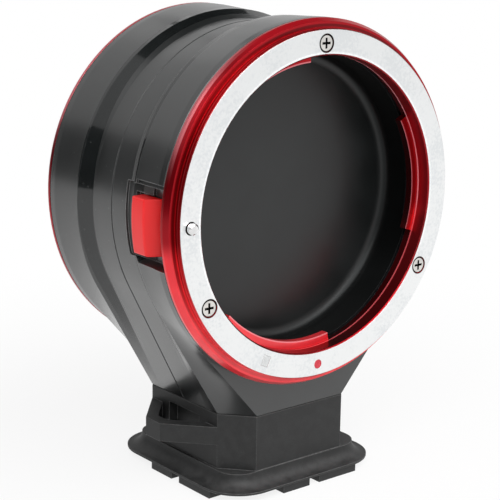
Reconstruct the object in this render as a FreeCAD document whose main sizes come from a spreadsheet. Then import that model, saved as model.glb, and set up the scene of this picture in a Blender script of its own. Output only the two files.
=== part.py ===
import FreeCAD, Part
import math
import os

import Sketcher

# Double lens holder: two bayonet sockets back to back in one housing, on a neck
# that stands in a moulded foot with strap loops. Millimetres, +Z up, the front
# socket faces -Y, and the origin is on the ground under the middle of the foot.
# Each side piece is drawn for the front and turned by half a turn for the rear.

Vector = FreeCAD.Vector
Rotation = FreeCAD.Rotation
Placement = FreeCAD.Placement

SIZES = {
    # Housing: the socket axis, the machined faces and the waist between the drums
    "axis_height": 54.0,
    "half_depth": 20.35,
    "waist_radius": 31.45,
    "waist_floor_half": 5.8,
    "waist_half": 8.7,
    "waist_tilt": 2.3,
    "crest_radius": 33.0,
    "seam_groove": 0.2,
    "drum_bevel": 0.25,
    # Neck: an eight-sided foot end that grows into the drums
    "neck_drop": 38.64,
    "neck_half_width": 15.35,
    "neck_front_half": 10.44,
    "neck_half_depth": 15.73,
    # Socket behind each ring
    "socket_radius": 27.2,
    "socket_depth": 12.3,
    "socket_fillet": 2.0,
    "floor_thickness": 2.0,
    "core_radius": 26.0,
    # Mount ring
    "ring_radius": 33.36,
    "ring_depth": 3.0,
    "face_radius": 31.6,
    "face_break": 0.15,
    "face_step": 1.4,
    "step_radius": 32.75,
    "bevel_depth": 2.45,
    "throat_radius": 27.0,
    "throat_length": 3.0,
    "throat_break": 0.25,
    "relief_radius": 27.5,
    "spigot_radius": 28.6,
    "spigot_length": 1.8,
    "spigot_clearance": 0.05,
    # Bayonet tabs, measured clockwise from the top of the ring
    "tab_radius": 25.5,
    "tab_thickness": 1.5,
    "tab_right_start": 59.0,
    "tab_right_sweep": 49.0,
    "tab_low_start": 169.0,
    "tab_low_sweep": 57.0,
    "tab_left_start": 300.0,
    "tab_left_sweep": 58.0,
    # Leaf spring behind the tabs
    "leaf_thickness": 0.3,
    "leaf_inner": 25.8,
    "leaf_outer": 26.8,
    "leaf_margin": 6.0,
    "leaf_bridge": 8.0,
    "leaf_band": 28.2,
    "leaf_gap": 12.0,
    # Screws in the ring's face
    "face_screw_circle": 29.1,
    "face_screw_head": 1.45,
    "face_screw_head_height": 1.1,
    "face_screw_shank": 0.8,
    "face_screw_length": 7.0,
    "face_screw_sink": 0.08,
    "head_clearance": 0.17,
    "shank_clearance": 0.15,
    "thread_clearance": 0.02,
    "thread_runout": 0.5,
    "cross_length": 0.95,
    "cross_width": 0.22,
    "cross_depth": 0.6,
    # Screws that join the shells, under the rings
    "shell_screw_circle": 29.3,
    "shell_screw_head": 1.45,
    "shell_screw_head_height": 1.2,
    "shell_screw_shank": 0.8,
    "shell_screw_length": 18.0,
    "shell_screw_seat": 12.0,
    "shell_screw_high": 45.0,
    "shell_screw_low": 300.0,
    # Lock pin and release button, with backs measured forward of the middle plane
    # and depths measured in from the housing's crest
    "pin_radius": 1.0,
    "pin_circle": 29.25,
    "pin_proud": 1.1,
    "pin_inset": 0.75,
    "pin_tip": 0.3,
    "pin_clearance": 0.1,
    "release_gap": 0.3,
    "release_travel": 1.3,
    "button_proud": 0.2,
    "button_top": 3.95,
    "button_bottom": 6.1,
    "button_back": 8.4,
    "button_crown": 3.6,
    "button_ramp": 1.7,
    "toe_depth": 2.4,
    "button_round": 0.4,
    "recess_depth": 2.05,
    "recess_above": 10.8,
    "recess_below": 13.7,
    "recess_back": 4.4,
    "ledge_sweep": 1.3,
    "ledge_depth": 0.4,
    "ledge_back": 9.0,
    "channel_depth": 3.1,
    "pit_top": 5.6,
    "pit_bottom": 7.1,
    "pit_back": 11.5,
    "arm_half_height": 2.7,
    "arm_wall": 1.25,
    "arm_setback": 0.4,
    "arm_length": 5.0,
    "coil_inset": 0.4,
    "coil_radius": 0.6,
    "coil_wire": 0.14,
    "coil_turns": 4.0,
    "coil_gap": 0.05,
    # Index marks let into the face
    "mark_depth": 0.3,
    "mark_clearance": 0.02,
    "dot_circle": 29.45,
    "dot_radius": 0.85,
    "square_circle": 29.2,
    "square_angle": 205.3,
    "square_half_width": 0.85,
    "square_half_height": 1.0,
    # Foot
    "foot_edge": 0.25,
    "flange_half": 19.0,
    "flange_corner": 8.0,
    "flange_base": 1.5,
    "flange_rim": 0.5,
    "flange_shoulder": 15.95,
    "flange_shoulder_corner": 4.5,
    "flange_shoulder_rise": 2.6,
    "flange_cove": 2.5,
    "flange_round": 0.2,
    "tread_half": 18.55,
    "tread_lead": 12.1,
    "tread_trail": 6.0,
    "tread_notch_start": 0.4,
    "tread_notch_width": 2.4,
    "tread_notch_depth": 4.5,
    "ear_half": 22.6,
    "ear_base": 9.1,
    "ear_height": 3.5,
    "ear_bar": 2.2,
    "notch_half": 4.7,
    "notch_inner": 13.35,
    "notch_above": 0.8,
    "notch_below": 1.0,
    # Screws from the foot into the neck
    "foot_screw_pitch": 9.0,
    "foot_screw_head": 2.3,
    "foot_screw_head_height": 1.6,
    "foot_screw_shank": 1.25,
    "foot_screw_length": 13.0,
    "foot_screw_seat": 9.0,
    # How far a cutting sketch reaches past the surface that it opens
    "overcut": 2.0,
}

QUARTER = 90.0
HALF_TURN = 180.0
FULL_TURN = 360.0
FACE_SCREW_ANGLES = (0.0, 120.0, 240.0)
SIDES = (("front", 0.0), ("rear", HALF_TURN))
TOLERANCE = 1e-4


class Size:
    """A driving size, or a sum worked out from some: its number and the text that binds it."""

    def __init__(self, number, text=None):
        self.number = float(number)
        self.text = text or repr(float(number))

    def join(self, other, sign, number):
        return Size(number, f"({self.text} {sign} {as_size(other).text})")

    def __add__(self, other):
        return self.join(other, "+", self.number + as_size(other).number)

    def __sub__(self, other):
        return self.join(other, "-", self.number - as_size(other).number)

    def __mul__(self, other):
        return self.join(other, "*", self.number * as_size(other).number)

    def __truediv__(self, other):
        return self.join(other, "/", self.number / as_size(other).number)

    def __radd__(self, other):
        return as_size(other) + self

    def __rsub__(self, other):
        return as_size(other) - self

    def __rmul__(self, other):
        return as_size(other) * self

    def __neg__(self):
        return as_size(0) - self


def as_size(value):
    """A plain number as a size; a size stays as it is."""
    return value if isinstance(value, Size) else Size(value)


def trig(name, degrees):
    """sin, cos or tan of a size in degrees."""
    angle = as_size(degrees)
    return Size(getattr(math, name)(math.radians(angle.number)), f"{name}({angle.text} * 1 deg)")


class Sizes:
    """Every driving size by its name."""

    def __init__(self, table):
        for name, number in table.items():
            setattr(self, name, Size(number, "dims." + name))


doc = FreeCAD.newDocument("lens_holder")
sheet = doc.addObject("Spreadsheet::Sheet", "dims")
for row, (alias, number) in enumerate(SIZES.items(), start=1):
    sheet.set(f"A{row}", alias)
    sheet.set(f"B{row}", str(number))
    sheet.setAlias(f"B{row}", alias)
doc.recompute()
d = Sizes(SIZES)

# Sizes that several pieces share
shell_front = d.half_depth - d.ring_depth
seat_radius = d.spigot_radius + d.spigot_clearance
seat_bottom = shell_front - d.spigot_length - d.leaf_thickness
socket_floor = d.half_depth - d.socket_depth
neck_base = d.axis_height - d.neck_drop
neck_side_half = d.waist_half + d.neck_drop * trig("tan", d.waist_tilt)
button_front = d.button_back + d.button_crown + d.button_ramp
button_radius = d.crest_radius + d.button_proud
channel_floor = d.crest_radius - d.channel_depth
arm_front = button_front - d.arm_setback
arm_back = arm_front - d.arm_length
arm_inner = d.pin_circle - d.arm_wall
tab_root = d.relief_radius + d.throat_break
rim_top = d.flange_base + d.flange_rim


def bind(obj, path, size):
    """Ties one property of an object to a size."""
    obj.setExpression(path, as_size(size).text)


def add_body(label, turn=0.0):
    """An empty body, turned about the upright axis for the rear side."""
    body = doc.addObject("PartDesign::Body", label)
    body.Label = label
    body.Placement = Placement(Vector(), Rotation(Vector(0, 0, 1), turn))
    return body


def add_sketch(body, name, plane, across=0.0, up=0.0, out=0.0, axis=Vector(1, 0, 0), spin=0.0):
    """A sketch on one of the body's origin planes, shifted in that plane and off it, and spun."""
    sketch = body.newObject("Sketcher::SketchObject", f"{body.Name}_{name}")
    support = next(p for p in body.Origin.OriginFeatures if p.Role == plane)
    sketch.AttachmentSupport = [(support, "")]
    sketch.MapMode = "FlatFace"
    sketch.AttachmentOffset = Placement(Vector(), Rotation(axis, as_size(spin).number))
    bind(sketch, "AttachmentOffset.Base.x", across)
    bind(sketch, "AttachmentOffset.Base.y", up)
    bind(sketch, "AttachmentOffset.Base.z", out)
    return sketch


def face_sketch(body, name, forward, axis=Vector(1, 0, 0), spin=0.0):
    """A sketch square to the socket axis, its origin on that axis, forward of the middle plane."""
    return add_sketch(body, name, "XZ_Plane", up=d.axis_height, out=forward, axis=axis, spin=spin)


def axial_sketch(body, name, clockwise=0.0):
    """A sketch through the socket axis: +x runs back along it and +y outward from it."""
    return add_sketch(body, name, "YZ_Plane", up=d.axis_height, spin=clockwise)


def constrain(sketch, kind, *where, size=None):
    """Add one constraint, bound to a size where it has one."""
    if size is None:
        return sketch.addConstraint(Sketcher.Constraint(kind, *where))
    index = sketch.addConstraint(Sketcher.Constraint(kind, *where, as_size(size).number))
    bind(sketch, f"Constraints[{index}]", size)
    return index


def pin_point(sketch, geo, end, x, y):
    """Fix a point at (x, y) from the sketch's origin."""
    for kind, axis, size in (("DistanceX", -2, as_size(x)), ("DistanceY", -1, as_size(y))):
        if size.text == as_size(0).text:
            constrain(sketch, "PointOnObject", geo, end, axis)
        else:
            constrain(sketch, kind, -1, 1, geo, end, size=size)


def polygon(sketch, points):
    """A closed outline with each corner fixed by two sizes."""
    corners = [Vector(as_size(x).number, as_size(y).number, 0) for x, y in points]
    first = sketch.GeometryCount
    for start, end in zip(corners, corners[1:] + corners[:1]):
        sketch.addGeometry(Part.LineSegment(start, end))
    count = len(corners)
    for i, (x, y) in enumerate(points):
        constrain(sketch, "Coincident", first + (i - 1) % count, 2, first + i, 1)
        pin_point(sketch, first + i, 1, x, y)


def rectangle(sketch, x0, x1, y0, y1):
    """A closed outline with its sides along the sketch's axes."""
    polygon(sketch, [(x0, y0), (x1, y0), (x1, y1), (x0, y1)])


def circle(sketch, x, y, radius):
    """A whole circle about a point."""
    middle = Vector(as_size(x).number, as_size(y).number, 0)
    geo = sketch.addGeometry(Part.Circle(middle, Vector(0, 0, 1), as_size(radius).number))
    constrain(sketch, "Radius", geo, size=radius)
    pin_point(sketch, geo, 3, x, y)


def polar(radius, clockwise):
    """The x and y of a point on a circle, clockwise from its top."""
    return radius * trig("sin", clockwise), radius * trig("cos", clockwise)


def arc(sketch, radius, start, end):
    """An arc about the sketch's origin, from one angle to another, anticlockwise in radians."""
    whole = Part.Circle(Vector(), Vector(0, 0, 1), as_size(radius).number)
    geo = sketch.addGeometry(Part.ArcOfCircle(whole, start, end))
    constrain(sketch, "Coincident", geo, 3, -1, 1)
    constrain(sketch, "Radius", geo, size=radius)
    return geo


def teardrop(sketch, radius, half_width, drop):
    """A round outline that runs down in two tangents to a straight lower edge."""
    r, w, h = radius.number, half_width.number, drop.number
    reach = math.hypot(w, h)
    lean = math.atan2(h, w) - math.acos(r / reach)
    top = arc(sketch, radius, -lean, math.pi + lean)
    tangent = Vector(r * math.cos(lean), -r * math.sin(lean), 0)
    left = sketch.addGeometry(Part.LineSegment(Vector(-tangent.x, tangent.y, 0), Vector(-w, -h, 0)))
    base = sketch.addGeometry(Part.LineSegment(Vector(-w, -h, 0), Vector(w, -h, 0)))
    right = sketch.addGeometry(Part.LineSegment(Vector(w, -h, 0), tangent))
    constrain(sketch, "Tangent", top, 2, left, 1)
    constrain(sketch, "Coincident", left, 2, base, 1)
    constrain(sketch, "Coincident", base, 2, right, 1)
    constrain(sketch, "Tangent", right, 2, top, 1)
    pin_point(sketch, base, 1, -half_width, -drop)
    pin_point(sketch, base, 2, half_width, -drop)


def rounded_square(sketch, half, corner):
    """A square about the sketch's origin with rounded corners."""
    reach, inner, r = half.number, half.number - corner.number, corner.number
    walls = []
    bends = []
    for quarter in range(4):
        turn = Rotation(Vector(0, 0, 1), QUARTER * quarter)
        start = turn.multVec(Vector(reach, -inner, 0))
        end = turn.multVec(Vector(reach, inner, 0))
        middle = turn.multVec(Vector(inner, inner, 0))
        walls.append(sketch.addGeometry(Part.LineSegment(start, end)))
        bend = Part.Circle(middle, Vector(0, 0, 1), r)
        angle = math.radians(QUARTER * quarter)
        bends.append(sketch.addGeometry(Part.ArcOfCircle(bend, angle, angle + math.pi / 2)))
    for quarter in range(4):
        constrain(sketch, "Tangent", walls[quarter], 2, bends[quarter], 1)
        constrain(sketch, "Tangent", bends[quarter], 2, walls[(quarter + 1) % 4], 1)
        constrain(sketch, "Vertical" if quarter % 2 == 0 else "Horizontal", walls[quarter])
        constrain(sketch, "Radius", bends[quarter], size=corner)
    constrain(sketch, "DistanceX", -1, 1, walls[0], 1, size=half)
    constrain(sketch, "DistanceY", -1, 1, walls[1], 1, size=half)
    constrain(sketch, "DistanceX", walls[2], 1, -1, 1, size=half)
    constrain(sketch, "DistanceY", walls[3], 1, -1, 1, size=half)


def finish(body, feature, grows):
    """Recompute a new feature and make sure that it added or took away material."""
    before = body.Shape.Volume if body.Shape.Solids else 0.0
    doc.recompute()
    after = body.Shape.Volume
    if (after <= before) if grows else (after >= before):
        raise RuntimeError(f"{feature.Label} left {body.Label} as it was")
    return feature


def extrude(body, kind, name, sketch, length, reverse=False):
    """A Pad or a Pocket of a sketch's outline."""
    feature = body.newObject("PartDesign::" + kind, f"{body.Name}_{name}")
    feature.Profile = sketch
    feature.Reversed = reverse
    bind(feature, "Length", length)
    return finish(body, feature, kind == "Pad")


def pad(body, name, sketch, length, reverse=False):
    """Add the sketch's outline along the sketch's normal, or against it."""
    return extrude(body, "Pad", name, sketch, length, reverse)


def pocket(body, name, sketch, length, reverse=False):
    """Cut the sketch's outline against the sketch's normal, or along it."""
    return extrude(body, "Pocket", name, sketch, length, reverse)


def turn_profile(body, kind, name, sketch, sweep=FULL_TURN):
    """Turn a sketch about its own horizontal axis to add or cut material."""
    feature = body.newObject("PartDesign::" + kind, f"{body.Name}_{name}")
    feature.Profile = sketch
    feature.ReferenceAxis = (sketch, ["H_Axis"])
    bind(feature, "Angle", sweep)
    return finish(body, feature, kind == "Revolution")


def sector(body, name, back, front, inner, outer, start=0.0, sweep=FULL_TURN):
    """A flat ring or part of one about the socket axis, clockwise from its start."""
    sketch = axial_sketch(body, name + "_profile", start)
    rectangle(sketch, -front, -back, inner, outer)
    return turn_profile(body, "Revolution", name, sketch, sweep)


def edges_where(shape, test):
    """The names of the edges that pass a test."""
    return [f"Edge{i}" for i, edge in enumerate(shape.Edges, start=1) if test(edge)]


def at_level(edge, axis, level):
    """Whether an edge lies flat at a level of X, Y or Z."""
    box = edge.BoundBox
    low, high = getattr(box, axis + "Min"), getattr(box, axis + "Max")
    return abs(low - level) < TOLERANCE and abs(high - level) < TOLERANCE


def at_radius(edge, radius):
    """Whether an edge keeps one distance from the socket axis."""
    ends = [v.Point - Vector(0, 0, d.axis_height.number) for v in edge.Vertexes]
    return all(abs(math.hypot(p.x, p.z) - radius) < TOLERANCE for p in ends)


def farthest(edge):
    """How far an edge's box goes from the origin along x or y."""
    box = edge.BoundBox
    return max(-box.XMin, box.XMax, -box.YMin, box.YMax)


def dress(body, kind, name, test, size):
    """Fillet or chamfer the edges that pass a test in the body's own frame."""
    base = body.Tip
    feature = body.newObject("PartDesign::" + kind, f"{body.Name}_{name}")
    feature.Base = (base, edges_where(base.Shape, test))
    bind(feature, "Radius" if kind == "Fillet" else "Size", size)
    doc.recompute()
    return feature


def make_shell(label, turn):
    """One half of the housing: waist, drum and half of the neck, with its socket."""
    body = add_body(label, turn)
    level = Size(0)
    sections = (
        ("seam", d.waist_radius - d.seam_groove, d.neck_half_width - d.seam_groove, level, level),
        ("lip", d.waist_radius, d.neck_half_width, d.seam_groove, level),
        ("waist", d.waist_radius, d.neck_half_width, d.waist_floor_half, d.waist_tilt),
        ("crest", d.crest_radius, d.neck_half_width, d.waist_half, d.waist_tilt),
        ("front", d.ring_radius, d.neck_front_half, d.neck_half_depth, level),
    )
    outlines = []
    for name, radius, half_width, forward, tilt in sections:
        sketch = face_sketch(body, name, forward, spin=-tilt)
        teardrop(sketch, radius, half_width, d.neck_drop / trig("cos", tilt))
        outlines.append(sketch)
    doc.recompute()
    hull = body.newObject("PartDesign::AdditiveLoft", f"{body.Name}_hull")
    hull.Profile = outlines[0]
    hull.Sections = outlines[1:]
    hull.Ruled = True
    finish(body, hull, True)

    drum = face_sketch(body, "drum_outline", d.neck_half_depth)
    circle(drum, 0, 0, d.ring_radius)
    pad(body, "drum", drum, shell_front - d.neck_half_depth)
    dress(body, "Chamfer", "drum_edge", lambda e: at_level(e, "Y", -shell_front.number), d.drum_bevel)

    socket = axial_sketch(body, "socket_profile")
    polygon(socket, [
        (-shell_front - d.overcut, 0),
        (-shell_front - d.overcut, seat_radius),
        (-seat_bottom, seat_radius),
        (-seat_bottom, d.socket_radius),
        (-socket_floor, d.socket_radius),
        (-socket_floor, 0),
    ])
    turn_profile(body, "Groove", "socket", socket)
    dress(body, "Fillet", "socket_corner", lambda e: at_level(e, "Y", -socket_floor.number),
          d.socket_fillet)

    core = face_sketch(body, "core_outline", 0)
    circle(core, 0, 0, d.core_radius)
    pocket(body, "core", core, socket_floor - d.floor_thickness, reverse=True)

    left_side = FULL_TURN - QUARTER
    outside = d.crest_radius + d.overcut
    for name, floor, back, start, sweep in (
        ("recess", d.crest_radius - d.recess_depth, d.recess_back, left_side - d.recess_below,
         d.recess_below + d.recess_above),
        ("ledge", d.crest_radius - d.ledge_depth, d.ledge_back, left_side + d.recess_above,
         d.ledge_sweep),
    ):
        outline = axial_sketch(body, name + "_profile", start)
        rectangle(outline, -shell_front - d.overcut, -back, floor, outside)
        turn_profile(body, "Groove", name, outline, sweep)
    for name, low, high, back in (
        ("channel", d.button_bottom + d.release_gap, d.button_top + d.release_gap,
         arm_back - d.release_travel - d.release_gap),
        ("pit", d.pit_bottom, d.pit_top, d.pit_back),
    ):
        outline = face_sketch(body, name + "_outline", shell_front)
        rectangle(outline, -outside, -channel_floor, -low, high)
        pocket(body, name, outline, shell_front - back)
    slot = face_sketch(body, "slot_outline", shell_front)
    arm_room = d.arm_half_height + d.release_gap
    rectangle(slot, -channel_floor, -arm_inner + d.release_gap, -arm_room, arm_room)
    pocket(body, "slot", slot, shell_front - d.recess_back)

    pilots = face_sketch(body, "pilot_outline", shell_front)
    for angle in FACE_SCREW_ANGLES:
        circle(pilots, *polar(d.face_screw_circle, angle), d.face_screw_shank + d.thread_clearance)
    pocket(body, "pilots", pilots, d.face_screw_length + d.thread_runout - d.ring_depth)

    near = [polar(d.shell_screw_circle, QUARTER - angle)
            for angle in (d.shell_screw_high, d.shell_screw_low)]
    passage = face_sketch(body, "passage_outline", shell_front)
    heads = face_sketch(body, "head_outline", shell_front)
    threads = face_sketch(body, "thread_outline", 0)
    for x, y in near:
        circle(passage, x, y, d.shell_screw_shank + d.shank_clearance)
        circle(heads, x, y, d.shell_screw_head + d.shank_clearance)
        circle(threads, -x, y, d.shell_screw_shank + d.thread_clearance)
    pocket(body, "passage", passage, shell_front + d.overcut)
    pocket(body, "heads", heads, shell_front - d.shell_screw_seat)
    pocket(body, "threads", threads, d.shell_screw_length + d.thread_runout - d.shell_screw_seat,
           reverse=True)

    foot_pilots = add_sketch(body, "foot_pilot_outline", "XY_Plane", out=neck_base)
    for side in (-1, 1):
        circle(foot_pilots, side * d.foot_screw_pitch, -d.foot_screw_pitch,
               d.foot_screw_shank + d.thread_clearance)
    depth = d.foot_screw_seat + d.foot_screw_length + d.thread_runout - neck_base
    pocket(body, "foot_pilots", foot_pilots, depth, reverse=True)
    return body


def make_ring(label, turn):
    """The turned bayonet ring: stepped edge, machined face, throat and three tabs."""
    body = add_body(label, turn)
    face = d.half_depth
    back = shell_front - d.spigot_length
    profile = axial_sketch(body, "profile")
    polygon(profile, [
        (-face, d.throat_radius + d.throat_break),
        (-face, d.face_radius - d.face_break),
        (d.face_break - face, d.face_radius),
        (d.face_step - face, d.face_radius),
        (d.face_step - face, d.step_radius),
        (d.bevel_depth - face, d.ring_radius),
        (-shell_front, d.ring_radius),
        (-shell_front, d.spigot_radius),
        (-back, d.spigot_radius),
        (-back, d.relief_radius),
        (d.throat_length - face, d.relief_radius),
        (d.throat_length - face, d.throat_radius),
        (d.throat_break - face, d.throat_radius),
    ])
    turn_profile(body, "Revolution", "turning", profile)

    tab_front = face - d.throat_length
    for name, start, sweep in tab_spans():
        sector(body, "tab_" + name, tab_front - d.tab_thickness, tab_front, d.tab_radius, tab_root,
               start, sweep)

    through = face_sketch(body, "through_outline", face)
    seats = face_sketch(body, "seat_outline", face)
    for angle in FACE_SCREW_ANGLES:
        x, y = polar(d.face_screw_circle, angle)
        circle(through, x, y, d.face_screw_shank + d.shank_clearance)
        circle(seats, x, y, d.face_screw_head + d.head_clearance)
    circle(through, -d.pin_circle, 0, d.pin_radius + d.pin_clearance)
    pocket(body, "through", through, d.ring_depth + d.spigot_length + d.overcut)
    pocket(body, "seats", seats, d.face_screw_head_height + d.face_screw_sink)

    dot = face_sketch(body, "dot_outline", face)
    circle(dot, 0, -d.dot_circle, d.dot_radius + d.mark_clearance)
    pocket(body, "dot", dot, d.mark_depth)
    square = face_sketch(body, "square_outline", face, Vector(0, 0, 1), -d.square_angle)
    mark_square(square, d.mark_clearance)
    pocket(body, "square", square, d.mark_depth)
    return body


def tab_spans():
    """Name, start and sweep of each bayonet tab, clockwise from the top."""
    return (
        ("right", d.tab_right_start, d.tab_right_sweep),
        ("low", d.tab_low_start, d.tab_low_sweep),
        ("left", d.tab_left_start, d.tab_left_sweep),
    )


def mark_square(sketch, room):
    """The index square's outline, out along the sketch's +y."""
    rectangle(sketch, -d.square_half_width - room, d.square_half_width + room,
              d.square_circle - d.square_half_height - room,
              d.square_circle + d.square_half_height + room)


def make_marks(dot_label, square_label, turn):
    """The coloured dot and square that fill their recesses in the ring's face."""
    floor = d.half_depth - d.mark_depth
    dot = add_body(dot_label, turn)
    outline = face_sketch(dot, "outline", floor)
    circle(outline, 0, -d.dot_circle, d.dot_radius)
    pad(dot, "fill", outline, d.mark_depth - d.mark_clearance)
    square = add_body(square_label, turn)
    outline = face_sketch(square, "outline", floor, Vector(0, 0, 1), -d.square_angle)
    mark_square(outline, Size(0))
    pad(square, "fill", outline, d.mark_depth - d.mark_clearance)
    return dot, square


def make_leaf_spring(label, turn):
    """A stamped band with one leaf behind each tab, held under the ring's spigot."""
    body = add_body(label, turn)
    front = seat_bottom + d.leaf_thickness
    sector(body, "band", seat_bottom, front, d.relief_radius, d.leaf_band,
           FULL_TURN - QUARTER + d.leaf_gap / 2, FULL_TURN - d.leaf_gap)
    for name, start, sweep in tab_spans():
        first = start + d.leaf_margin
        sector(body, "bridge_" + name, seat_bottom, front, d.leaf_inner, tab_root,
               first, d.leaf_bridge)
        sector(body, "leaf_" + name, seat_bottom, front, d.leaf_inner, d.leaf_outer,
               first, sweep - 2 * d.leaf_margin)
    return body


def make_pin(label, turn):
    """The lock pin: a round bar with a bevelled tip, pressed into the button's arm."""
    body = add_body(label, turn)
    tip = d.half_depth + d.pin_proud
    tail = arm_back + d.pin_inset
    profile = add_sketch(body, "profile", "YZ_Plane", up=d.axis_height, out=-d.pin_circle)
    polygon(profile, [
        (-tip, 0),
        (-tip, d.pin_radius - d.pin_tip),
        (d.pin_tip - tip, d.pin_radius),
        (-tail, d.pin_radius),
        (-tail, 0),
    ])
    turn_profile(body, "Revolution", "bar", profile)
    return body


def make_button(label, turn):
    """The red slide: a curved thumb piece with an arm that carries the lock pin."""
    body = add_body(label, turn)
    outline = face_sketch(body, "outline", button_front)
    radius, top, low = button_radius, d.button_top, d.button_bottom
    base = channel_floor + d.release_gap
    lean_up = math.asin(top.number / radius.number)
    lean_down = math.asin(low.number / radius.number)
    bulge = arc(outline, radius, math.pi - lean_up, math.pi + lean_down)
    corners = [Vector(-radius.number * math.cos(lean_down), -low.number, 0),
               Vector(-base.number, -low.number, 0),
               Vector(-base.number, top.number, 0),
               Vector(-radius.number * math.cos(lean_up), top.number, 0)]
    under, back, over = (outline.addGeometry(Part.LineSegment(start, end))
                         for start, end in zip(corners, corners[1:]))
    constrain(outline, "Coincident", bulge, 2, under, 1)
    constrain(outline, "Coincident", under, 2, back, 1)
    constrain(outline, "Coincident", back, 2, over, 1)
    constrain(outline, "Coincident", over, 2, bulge, 1)
    constrain(outline, "Horizontal", under)
    constrain(outline, "Horizontal", over)
    pin_point(outline, back, 1, -base, -low)
    pin_point(outline, back, 2, -base, top)
    pad(body, "thumb", outline, d.button_crown + d.button_ramp, reverse=True)

    ramp = axial_sketch(body, "ramp_profile")
    crown = button_front - d.button_ramp
    toe = d.crest_radius - d.toe_depth
    polygon(ramp, [
        (-button_front - d.overcut, toe),
        (-button_front, toe),
        (-crown, radius),
        (-crown, radius + d.overcut),
        (-button_front - d.overcut, radius + d.overcut),
    ])
    turn_profile(body, "Groove", "ramp", ramp)
    dress(body, "Fillet", "thumb_edge", lambda e: at_radius(e, radius.number), d.button_round)

    arm = face_sketch(body, "arm_outline", arm_front)
    rectangle(arm, -base - d.release_gap, -arm_inner, -d.arm_half_height, d.arm_half_height)
    pad(body, "arm", arm, d.arm_length, reverse=True)
    hole = face_sketch(body, "pin_hole_outline", button_front)
    circle(hole, -d.pin_circle, 0, d.pin_radius + d.thread_clearance)
    pocket(body, "pin_hole", hole, d.arm_setback + d.arm_length + d.overcut)
    return body


def make_coil(label, turn):
    """The return spring: a square-wire coil between the button's arm and the end of its slot."""
    body = add_body(label, turn)
    length = arm_back - d.recess_back - 2 * d.coil_gap - 2 * d.coil_wire
    start = d.recess_back + d.coil_gap + d.coil_wire
    section = add_sketch(body, "section", "YZ_Plane", across=-start, up=d.axis_height,
                         out=d.coil_inset - d.pin_circle)
    rectangle(section, -d.coil_wire, d.coil_wire,
              d.coil_radius - d.coil_wire, d.coil_radius + d.coil_wire)
    coil = body.newObject("PartDesign::AdditiveHelix", f"{body.Name}_coil")
    coil.Profile = section
    coil.ReferenceAxis = (section, ["H_Axis"])
    coil.Mode = "height-turns-growth"
    coil.Reversed = True
    bind(coil, "Height", length)
    bind(coil, "Turns", d.coil_turns)
    finish(body, coil, True)
    return body


def make_screw(label, placement, head, head_height, shank, length):
    """A flat-headed screw with a cross recess, its head's top at the origin, its shank down -Z."""
    body = add_body(label)
    profile = add_sketch(body, "profile", "XZ_Plane")
    polygon(profile, [
        (0, 0),
        (head, 0),
        (head, -head_height),
        (shank, -head_height),
        (shank, -length),
        (0, -length),
    ])
    feature = body.newObject("PartDesign::Revolution", f"{body.Name}_turning")
    feature.Profile = profile
    feature.ReferenceAxis = (profile, ["V_Axis"])
    finish(body, feature, True)
    cross = add_sketch(body, "cross", "XY_Plane")
    a, b = d.cross_length, d.cross_width
    polygon(cross, [(a, -b), (a, b), (b, b), (b, a), (-b, a), (-b, b),
                    (-a, b), (-a, -b), (-b, -b), (-b, -a), (b, -a), (b, -b)])
    pocket(body, "recess", cross, d.cross_depth)
    body.Placement = placement
    return body


def group(label, pieces):
    """Several like pieces as one node of separate solids."""
    node = doc.addObject("Part::Compound", label)
    node.Label = label
    node.Links = pieces
    return node


def facing_front(x, forward, z, turn):
    """Where a screw goes whose head faces the front, or the rear after half a turn."""
    tip_back = Placement(Vector(x, -forward, z), Rotation(Vector(1, 0, 0), QUARTER))
    return Placement(Vector(), Rotation(Vector(0, 0, 1), turn)).multiply(tip_back)


def make_face_screws(label, turn):
    """The three screws in a ring's face."""
    pieces = []
    for i, angle in enumerate(FACE_SCREW_ANGLES):
        x, y = polar(d.face_screw_circle, angle)
        forward = d.half_depth - d.face_screw_sink
        place = facing_front(x.number, forward.number, d.axis_height.number + y.number, turn)
        pieces.append(make_screw(f"{label}_{i}", place, d.face_screw_head, d.face_screw_head_height,
                                 d.face_screw_shank, d.face_screw_length - d.face_screw_sink))
    return group(label, pieces)


def make_shell_screws(label):
    """The long screws that pull the half shells together, two from each side."""
    pieces = []
    forward = d.shell_screw_seat + d.shell_screw_head_height
    for side, turn in SIDES:
        for angle in (d.shell_screw_high, d.shell_screw_low):
            x, y = polar(d.shell_screw_circle, QUARTER - angle)
            place = facing_front(x.number, forward.number, d.axis_height.number + y.number, turn)
            pieces.append(make_screw(f"{label}_{side}_{len(pieces)}", place, d.shell_screw_head,
                                     d.shell_screw_head_height, d.shell_screw_shank,
                                     d.shell_screw_length + d.shell_screw_head_height))
    return group(label, pieces)


def make_foot_screws(label):
    """The screws that hold the foot to the neck, heads down in the foot."""
    pieces = []
    level = d.foot_screw_seat - d.foot_screw_head_height
    for x in (-1, 1):
        for y in (-1, 1):
            spot = Vector(x * d.foot_screw_pitch.number, y * d.foot_screw_pitch.number, level.number)
            place = Placement(spot, Rotation(Vector(1, 0, 0), HALF_TURN))
            pieces.append(make_screw(f"{label}_{len(pieces)}", place, d.foot_screw_head,
                                     d.foot_screw_head_height, d.foot_screw_shank,
                                     d.foot_screw_length + d.foot_screw_head_height))
    return group(label, pieces)


def slant(slope):
    """The length of a line of this slope for each step along x."""
    return Size(math.hypot(1.0, slope.number), f"sqrt(1 + {slope.text} * {slope.text})")


def mirrored(points):
    """An outline with four-way symmetry from the corners of its first quarter."""
    back = [(-x, y) for x, y in reversed(points)]
    half = points + back
    return half + [(-x, -y) for x, y in half]


def pinwheel(points):
    """An outline's points four times, each turned a quarter further."""
    quarters = [points]
    while len(quarters) < 4:
        quarters.append([(-y, x) for x, y in quarters[-1]])
    return quarters


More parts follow.
